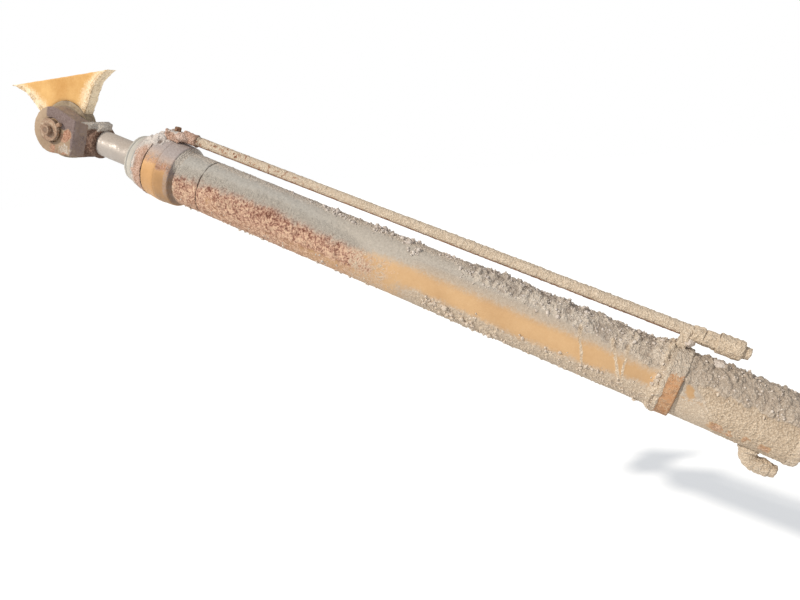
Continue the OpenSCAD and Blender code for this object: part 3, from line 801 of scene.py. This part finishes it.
def collar_detail(own, facing):
    """Bare orange below, violet dust above, a rusty edge between, and a dusty inner end at the groove, darker
    below as painted shade.
    """
    s = own[:, 0]
    side, radius = side_of(own), radius_of(own)
    wobble = wave(own, 0.05, 93)
    fleck = wave(own, 0.016, 94)
    front = s < COLLAR_RIDGE
    inner = (radius < 0.1015) & (s > 0.505)
    edge = np.where(front, 64, 72) + 6 * wobble + 5 * fleck
    dust = fade(side, edge - np.where(front, 22, 12), edge + np.where(front, 16, 7))
    grey_end = step(s + 0.003 * fleck, 0.497, 0.504) * fade(side, 120, 140)
    low = step(side + 16 * fleck, 108, 138) * step(s, 0.455, 0.47)
    stain = bump_at(side + 8 * fleck, edge + 2, 3.5) * patches(own, 0.018, 84, 0.45, 0.6)
    stain = 0.45 * stain * np.where(front, 0.15, 1)
    dark = most(0.5 * low, 0.22 * bump_at(s, COLLAR_RIDGE, 0.0025), stain)
    # Painted shade on the lower part of the inner end, in the groove
    dark = np.where(inner, 0.5 * step(side, 45, 95), dark)
    mud = 0.36 * fade(side + 12 * wobble, 20, 46) * patches(own, 0.03, 90, 0.4, 0.55)
    gap = 0.85 * bump_at(s + 0.0015 * fleck, COLLAR_FRONT + 0.0008, 0.0018)
    masks = dict(
        mud=np.where(inner, 0.8 * fade(side, 30, 80), mud),
        warm=np.where(inner, 0, step(side, edge - 30, edge - 2)),
        dust=most(dust, np.where(inner, 1 - 0.5 * step(side, 60, 100), 0.55 * grey_end)),
        rust=np.where(front, 0.5, 0.66) * window(side + 7 * fleck, edge - 10, edge + 9, 5),
        dark=most(dark, np.where(front | inner, 0, 0.3 * step(side, 72, 92))),
        crack=gap * patches(own, 0.03, 89, 0.25, 0.45),
    )
    dents = 0.0008 * wave(own, 0.02, 88) * step(side, 40, 70)
    return masks, dents - 0.0016 * bump_at(s, COLLAR_RIDGE, 0.003)


def nose_detail(own, facing):
    """Pink mud on the gland's tapered nose, paler at its front, with a gap at each end."""
    s = own[:, 0]
    side, radius = side_of(own), radius_of(own)
    pale = bump_at(s + 0.004 * wave(own, 0.02, 92), NOSE_FRONT + 0.008, 0.005)
    pale *= patches(own, 0.025, 86, 0.3, 0.45)
    gap = 0.8 * bump_at(s + 0.002 * wave(own, 0.02, 87), COLLAR_FRONT - 0.001, 0.0022)
    rim = bump_at(s, NOSE_FRONT - 0.001, 0.0016) * patches(own, 0.03, 97, 0.35, 0.5)
    # Sunk pits, darkened away from the top as painted shade in them
    shaded_pits = patches(own, 0.018, 85, 0.58, 0.66)
    masks = dict(
        mud=np.where(s < COLLAR_FRONT + 0.001, 1.0, 0.0),
        warm=step(side + 20 * wave(own, 0.03, 96), 24, 56) * (1 - pale),
        dust=0.4, rust=0,
        dark=0.3 * shaded_pits * step(side, 30, 60),
        crack=most(gap, rim),
    )
    worn = 0.0024 * wave(own, 0.016, 98) + 0.0022 * lumps(own, 0.011, 99) + 0.0015 * pale - 0.0015 * shaded_pits
    return masks, np.where(s < COLLAR_FRONT + 0.002, worn * step(radius, 0.086, 0.09), 0.0)


def lip_detail(own, facing):
    """Wiper ring with a groove around it, darkened as painted shade."""
    s = own[:, 0]
    outside = step(radius_of(own), 0.074, 0.08)
    # The groove is darkened as painted shade
    groove = window(s, 0.3235, 0.3285, 0.0015) * outside
    masks = dict(
        mud=0.3 * patches(own, 0.03, 101, 0.45, 0.6),
        warm=0.35,
        dust=most(groove, 0.95 * window(s, 0.346, 0.357, 0.003)) * patches(own, 0.04, 102, 0.25, 0.4),
        rust=0,
        dark=0.4 * groove + 0.12 * window(s, 0.35, 0.357, 0.002),
    )
    rim = 0.003 * outside * fade(s, 0.322, 0.325)
    return masks, -0.004 * groove - rim + 0.0008 * wave(own, 0.012, 103) * outside


def eye_detail(own, facing):
    """Near face with a zone of painted shade, a salmon and a pale patch, a side wall darkened as painted
    shade, and a rusty neck with dust on top.
    """
    s, y, z = own[:, 0], own[:, 1], own[:, 2]
    near = step(-facing[:, 1], 0.5, 0.8) * (y < -0.06)
    fleck = wave(own, 0.014, 111)
    wobble = wave(own, 0.05, 112)
    limit = np.interp(s, (-0.05, 0.011, 0.042, 0.085, 0.095), (0.05, 0.029, 0.018, 0.014, -0.08))
    shade = step(z + 0.006 * wobble + 0.003 * fleck, limit - 0.005, limit + 0.005)
    shade = shade * step(s + 0.006 * wobble, -0.04, -0.022)
    off = 1 - near
    shaded_side_wall = off * fade(s, 0.104, 0.112)
    neck = off * step(s + 0.004 * fleck, 0.104, 0.112)
    top = step(z + 0.008 * fleck, 0.03, 0.056)
    salmon = fade(np.hypot((s - 0.07) / 0.019, (z - 0.004) / 0.024) + 0.35 * fleck, 0.75, 1.1)
    pale = 0.52 - 0.52 * step(np.hypot((s - 0.07) / 0.036, (z + 0.048) / 0.02) + 0.9 * fleck, 0.3, 1.3)
    flakes = 0.5 * patches(own, 0.016, 113, 0.45, 0.6) * (1 - shade)
    spots = 0.4 * near * (1 - shade) * step(wave(own, 0.012, 114) + 0.5 * wobble, 0.15, 0.55)
    # Painted shade in the crease around the keeper washer
    ring = bump_at(np.hypot(s, z), 0.043, 0.0025) * near
    blots = 0.3 * near * step(wave(own, 0.014, 115), 0.2, 0.6)
    # Painted shade in the corner where the neck meets the eye
    neck_corner_shade = bump_at(s + 0.002 * fleck, 0.108, 0.003) * off
    masks = dict(
        mud=most(0.6 * near * salmon, near * pale, near * flakes * step(s, -0.02, 0.02), 0.85 * neck * top),
        warm=np.where((near > 0.5) & (pale <= 0.3), 1.0, 0.0),
        # Painted shade: the eye's dark dust covers the shaded zone of the near face and the side wall; on the
        # neck it is dust
        dust=most(near * shade, 0.55 * shaded_side_wall, 0.35 * neck) * (1 - near * most(salmon, pale)),
        rust=most(neck * (1 - 0.8 * top), 0.3 * shaded_side_wall, spots),
        dark=most(0.3 * ring, blots, 0.55 * neck_corner_shade, 0.35 * neck * step(-z, 0.02, 0.05)),
        crack=near * pale * bump_at(fleck, 0.12, 0.05) * 0.6,
    )
    return masks, 0.0007 * fleck + 0.0007 * near * pale - 0.0007 * near * salmon


def gusset_detail(own, facing):
    """Orange plate with pale flakes along its curved edges, and a pale rim."""
    row = to_row(own)
    pin = to_row([0, 0, 0])
    x, z = row[:, 0] - pin[0], row[:, 2] - pin[2]
    fleck = wave(own, 0.014, 121)
    wobble = wave(own, 0.04, 122)
    rim = fade(np.abs(facing[:, 1]), 0.4, 0.75)
    half_width = np.interp(z, (0.027, 0.046, 0.084, 0.118, 0.148, 0.174, 0.18),
                           (0.0715, 0.092, 0.12, 0.14, 0.166, 0.208, 0.23))
    inward = half_width - np.abs(x)
    close = fade(inward + 0.01 * fleck + 0.008 * wobble, 0.01, 0.034)
    flaky = patches(own, 0.022, 123, 0.4, 0.52)
    lines = bump_at(wave(own, 0.03, 124), 0, 0.05) * most(rim, 0.7 * close)
    masks = dict(
        mud=0.8 * close * (0.25 + 0.75 * flaky) * (1 - rim),
        warm=1,
        dust=most(0.75 * fade(inward + 0.008 * wobble, 0.012, 0.075), rim),
        rust=0.3 * step(fleck + 0.5 * wobble, 0.55, 0.8),
        # Painted shade in the corner where the plate meets the boss; the lines are cracks
        dark=most(0.35 * lines, 0.3 * bump_at(np.hypot(x, z), 0.103, 0.006)),
    )
    return masks, rim * 0.0014 * wave(own, 0.03, 126) + 0.001 * close * flaky - 0.001 * rim * lines


def boss_detail(own, facing):
    radius = np.hypot(own[:, 0], own[:, 2])
    masks = dict(
        mud=0.36 * patches(own, 0.03, 132, 0.45, 0.6),
        dust=0.35 + 0.5 * step(facing[:, 2], 0.2, 0.8),
        rust=0.5 * step(wave(own, 0.03, 131), 0.1, 0.5),
        # Painted shade in a ring around the eye's edge, where the eye stands in front of the boss; the blots
        # are dirt
        dark=most(0.55 * bump_at(radius, 0.081, 0.005), 0.5 * step(wave(own, 0.016, 134), 0, 0.4)),
    )
    return masks, 0.0016 * wave(own, 0.018, 133)


def tube_detail(own, facing):
    """Crusted tube, rusty below and flecked at its front, with clods towards its rear."""
    s = own[:, 0]
    side = side_of(own, TUBE_LOW + (TUBE_HIGH - TUBE_LOW) * (s - TUBE_FRONT) / (TUBE_BACK - TUBE_FRONT))
    fleck = wave(own, 0.012, 141)
    late = step(s, 1.2, 1.55)
    bottom = step(side + 14 * fleck, 112, 130)
    flecks = step(wave(own, 0.007, 145) + 0.5 * fleck, 0.16, 0.36) * (1 - 0.8 * step(s, 0.75, 1.2))
    # Painted shade in the gap behind the front nut
    ferrule_gap_shade = bump_at(s, 0.545, 0.006) * patches(own, 0.02, 142, 0.3, 0.5)
    masks = dict(
        mud=(0.66 + 0.34 * late) * (1 - 0.75 * bottom) * (1 - 0.7 * flecks),
        warm=0.8, dust=0.1,
        rust=most(0.75 * bottom, flecks),
        dark=0.6 * ferrule_gap_shade + 0.3 * step(side, 140, 165),
    )
    clods = late * (0.001 + 0.0026 * lumps(own, 0.011, 143))
    height = 0.0017 + clods + 0.0012 * lumps(own, 0.006, 144) + 0.001 * fleck
    return masks, height * (1 - 0.55 * bottom)


def rear_nut_detail(own, facing):
    """Caked fitting at the tube's rear, cracked at the ends of its hexagons."""
    place = own[:, 0] + 0.004 * wave(own, 0.015, 151)
    lines = sum(bump_at(place, end, 0.0018) for end in (TUBE_BACK, TUBE_BACK + 0.033, TUBE_BACK + 0.071))
    crack = 0.7 * np.clip(lines, 0, 1) * patches(own, 0.02, 152, 0.3, 0.5)
    height = 0.0025 * lumps(own, 0.014, 153) + 0.0015 * wave(own, 0.02, 154) - 0.002 * crack
    return dict(mud=1, warm=0.9, dust=0.2, crack=crack), height


def front_nut_detail(own, facing):
    shadow = 0.75 * bump_at(own[:, 0], 0.533, 0.007) * patches(own, 0.02, 155, 0.2, 0.4)
    dark = most(shadow, 0.5 * patches(own, 0.018, 156, 0.6, 0.68))
    return dict(mud=1, warm=1, dark=dark), 0.003 * lumps(own, 0.015, 157) + 0.002 * wave(own, 0.025, 158)


def block_detail(own, facing):
    dark = 0.6 * patches(own, 0.018, 162, 0.6, 0.68)
    return dict(mud=1, warm=patches(own, 0.04, 161, 0.35, 0.5), dark=dark), (
        0.0045 * lumps(own, 0.02, 163) + 0.003 * wave(own, 0.03, 164) - 0.002)


def band_detail(own, facing):
    """Rusty band, caked above and along its front edge, with painted shade on the lower part of its back
    edge.
    """
    s = own[:, 0]
    side, radius = side_of(own), radius_of(own)
    fleck = wave(own, 0.016, 171)
    upper = fade(side + 12 * fleck, 54, 74)
    bead = step(BAND_FRONT + 0.012 + 0.004 * fleck - s, -0.003, 0.004)
    # Painted shade on the back edge, the side turned from the sun
    edge = step(s, BAND_BACK - 0.005, BAND_BACK) * step(side, 50, 75)
    blots = 0.4 * step(wave(own, 0.02, 174), 0.35, 0.6) * (1 - upper) * (1 - bead)
    masks = dict(
        mud=most(upper, bead),
        warm=most(0.6 + 0.3 * step(side, 50, 90), 0.85 * bead),
        dust=0.15,
        rust=0.5 + 0.4 * fleck,
        dark=most(0.7 * edge, 0.04 * upper + 0.08, blots),
    )
    clods = 0.001 + 0.0045 * lumps(own, 0.014, 173) + 0.002 * lumps(own, 0.007, 175)
    return masks, step(radius, 0.0955, 0.0975) * (most(upper * 0.8, bead) * clods + 0.0012 * fleck)


def muddy_detail(own, facing):
    return dict(mud=1, warm=0.8), 0.003 * lumps(own, 0.015, 181) + 0.0012 * wave(own, 0.02, 182)


def rod_detail(own, facing):
    s = own[:, 0]
    masks = dict(
        mud=0, rust=0,
        dust=0.35 + 0.45 * fade(side_of(own) + 10 * wave(own, 0.04, 192), 40, 80),
        dark=0.25 * step(wave(own, 0.01, 191), 0.62, 0.8) * step(s, 0.15, 0.16),
    )
    return masks, -0.0004 * bump_at(s, 0.172, 0.004)


def keeper_detail(own, facing):
    """Keeper washer and its bolt, with painted shade around the bolt's head, at the washer's rim and in the
    head.
    """
    radius = np.hypot(own[:, 0], own[:, 2])
    crease_shade_rings = 0.5 * bump_at(radius, 0.02, 0.003) + 0.35 * bump_at(radius, 0.039, 0.002)
    masks = dict(
        mud=0.34 * patches(own, 0.02, 195, 0.42, 0.55) * step(radius, 0.018, 0.024),
        warm=1, dust=0.3,
        rust=0.5 * step(wave(own, 0.015, 196), 0, 0.4),
        dark=most(crease_shade_rings, 0.55 * fade(radius, 0.008, 0.012)),
    )
    return masks, 0.0008 * wave(own, 0.012, 197)


# Node, body, slot, material, mesh size, rounds of smoothing, relief, detail, and shares of plain dirt
DRESSED = (
    ("head_collar", "barrel", "orange_paint", COLLAR, 0.0032, 1, 0.0003, collar_detail),
    ("gland", "barrel", "gland_steel", NOSE, 0.0038, 1, 0, nose_detail),
    ("wiper_ring", "barrel", "wiper", LIP, 0.003, 1, 0.0002, lip_detail),
    ("rod_eye", "rod", "eye_steel", EYE, 0.0026, 3, 0.0006, eye_detail),
    ("rod_bush", "rod", "bush_bronze", BRONZE),
    ("bracket_pin", "bracket", "eye_steel", EYE),
    ("pin_keeper", "bracket", "fasteners", FASTENER, 0.0013, 2, 0.0005, keeper_detail),
    ("keeper_bolt", "bracket", "fasteners", FASTENER, 0.0011, 4, 0.0007, keeper_detail),
    ("keeper_tab", "bracket", "fasteners", FASTENER, 0.0011, 3, 0.0005),
    ("bracket_boss", "bracket", "bracket_steel", BOSS, 0.0032, 2, 0.0006, boss_detail),
    ("bracket_gusset", "bracket", "bracket_paint", GUSSET, 0.0024, 2, 0.0005, gusset_detail),
    ("head_port_block", "barrel", "orange_paint", NOSE, 0.002, 60, 0.0006, block_detail),
    ("head_port_plug", "barrel", "fasteners", PLUG, 0.0011, 8, 0.0008, None,
     dict(rust=0.9, mud=0.15, dust=0.1)),
    ("front_nut", "barrel", "fasteners", NOSE, 0.0018, 40, 0.0006, front_nut_detail),
    ("feed_tube", "barrel", "tube_paint", TUBE, 0.0031, 1, 0.0003, tube_detail),
    ("rear_nut", "barrel", "fasteners", TUBE, 0.0014, 8, 0.0006, rear_nut_detail),
    ("tube_adapter", "barrel", "fasteners", TUBE, 0.0021, 8, 0.0006, rear_nut_detail),
    ("band_clamp", "barrel", "orange_paint", BAND, 0.0025, 1, 0.0003, band_detail),
    ("band_bolt", "barrel", "fasteners", FASTENER, 0.0012),
    ("tube_saddle", "barrel", "orange_paint", ORANGE, 0.0018, 5, 0.0008, muddy_detail),
    ("rod", "rod", "rod_steel", ROD, 0.0068, 3, 0, rod_detail),
    ("base_eye", "barrel", "orange_paint", ORANGE, 0.0038, 3, 0.0008, muddy_detail),
    ("base_bush", "barrel", "bush_bronze", BRONZE),
    ("base_nipple", "barrel", "fasteners", FASTENER, 0.001),
    ("base_plate", "barrel", "orange_paint", ORANGE, 0.004, 2, 0.0008, muddy_detail),
    ("base_port_boss", "barrel", "orange_paint", ORANGE, 0.002, 3, 0.0008, muddy_detail),
    ("base_elbow", "barrel", "tube_paint", TUBE, 0.002, 3, 0.0008, muddy_detail),
    ("base_adapter", "barrel", "fasteners", TUBE, 0.0022, 4, 0.0008, muddy_detail),
    ("base_stub", "base_stub", "bracket_steel", BOSS, 0.004, 2, 0.0006, None, dict(mud=0.7, dust=0.6)),
    ("base_retainer", "base_stub", "fasteners", FASTENER, 0.0025, 2, 0.0006, None, dict(mud=0.6)),
    ("base_bolt", "base_stub", "fasteners", FASTENER, 0.0012, 3, 0.0006),
)
for columns in DRESSED:
    dress(*columns)
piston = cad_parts["piston"]
piston.data.materials.clear()
piston.data.materials.append(STEEL)

# Camera, where the photograph's rings and pins put it
VIEW_RIGHT = Vector((0.9185, 0.3847, -0.0911))
VIEW_UP = Vector((0.0105, 0.2069, 0.9784))
VIEW_AHEAD = Vector((-0.3952, 0.8996, -0.1861))
AIM_S, AIM_HEIGHT, AIM_DISTANCE = 1.345, 0.1045, 2.456
camera_data = bpy.data.cameras.new("camera")
camera_data.sensor_fit = "HORIZONTAL"
camera_data.sensor_width = 36.0
camera_data.lens = 35.55
camera = add_object("camera", camera_data)
aim = Vector(to_row([AIM_S, 0.0, 0.0]))
turn = Matrix((VIEW_RIGHT, VIEW_UP, -VIEW_AHEAD)).transposed().to_4x4()
camera.matrix_world = Matrix.Translation(aim - AIM_HEIGHT * VIEW_UP - AIM_DISTANCE * VIEW_AHEAD) @ turn
bpy.context.scene.camera = camera
bpy.context.scene.view_settings.view_transform = "Standard"

# Floor, white backdrop, plain sky light and one lamp
FLOOR_Z = -1.2
FLOOR_REACH = 60.0
SKY_COLOUR = (0.93, 0.96, 1.0)
SKY_STRENGTH = 0.58
FLOOR_COLOUR = (0.9, 0.9, 0.9)
FLOOR_LIFT = 0.2
WHITE = (1.0, 1.0, 1.0)


def seen_share(tree):
    """1 for camera, gloss and glass rays, 0 for the rays that light the object."""
    path = tree.nodes.new("ShaderNodeLightPath")
    kinds = [path.outputs["Is %s Ray" % kind] for kind in ("Camera", "Glossy", "Transmission")]
    return reduce(lambda a, b: new_node(tree, "Math", {0: a, 1: b}, 0, operation="MAXIMUM"), kinds)


world = bpy.data.worlds.new("world")
bpy.context.scene.world = world
world.use_nodes = True
tree = world.node_tree
sky = tree.nodes["Background"]
fill(tree, sky.inputs["Color"], SKY_COLOUR)
fill(tree, sky.inputs["Strength"], SKY_STRENGTH)
white = new_node(tree, "Background", {"Color": WHITE}, 0)
backdrop = new_node(tree, "MixShader", {0: seen_share(tree), 1: sky.outputs[0], 2: white}, 0)
fill(tree, tree.nodes["World Output"].inputs["Surface"], backdrop)

floor_mesh = bpy.data.meshes.new("floor")
corners = [(x * FLOOR_REACH, y * FLOOR_REACH, FLOOR_Z) for x, y in ((-1, -1), (1, -1), (1, 1), (-1, 1))]
floor_mesh.from_pydata(corners, [], [(0, 1, 2, 3)])
floor = add_object("floor", floor_mesh)
matt = Graph("floor")
matt.drive("Base Color", FLOOR_COLOUR)
matt.drive("Roughness", 0.9)
matt.drive("Specular IOR Level", 0.0)
matt.drive("Emission Color", WHITE)
matt.drive("Emission Strength", matt.times(seen_share(matt.tree), FLOOR_LIFT))
floor_mesh.materials.append(matt.material)

# Low, slightly warm sun from the photo's side
SUN_TOWARD = (-0.48, -0.78, 0.66)
sun_data = bpy.data.lights.new("key", "SUN")
sun_data.energy = 2.75
sun_data.color = (1.0, 0.945, 0.86)
sun_data.angle = math.radians(2.0)
sun = add_object("key", sun_data)
sun.rotation_euler = Vector(SUN_TOWARD).to_track_quat("Z", "Y").to_euler()
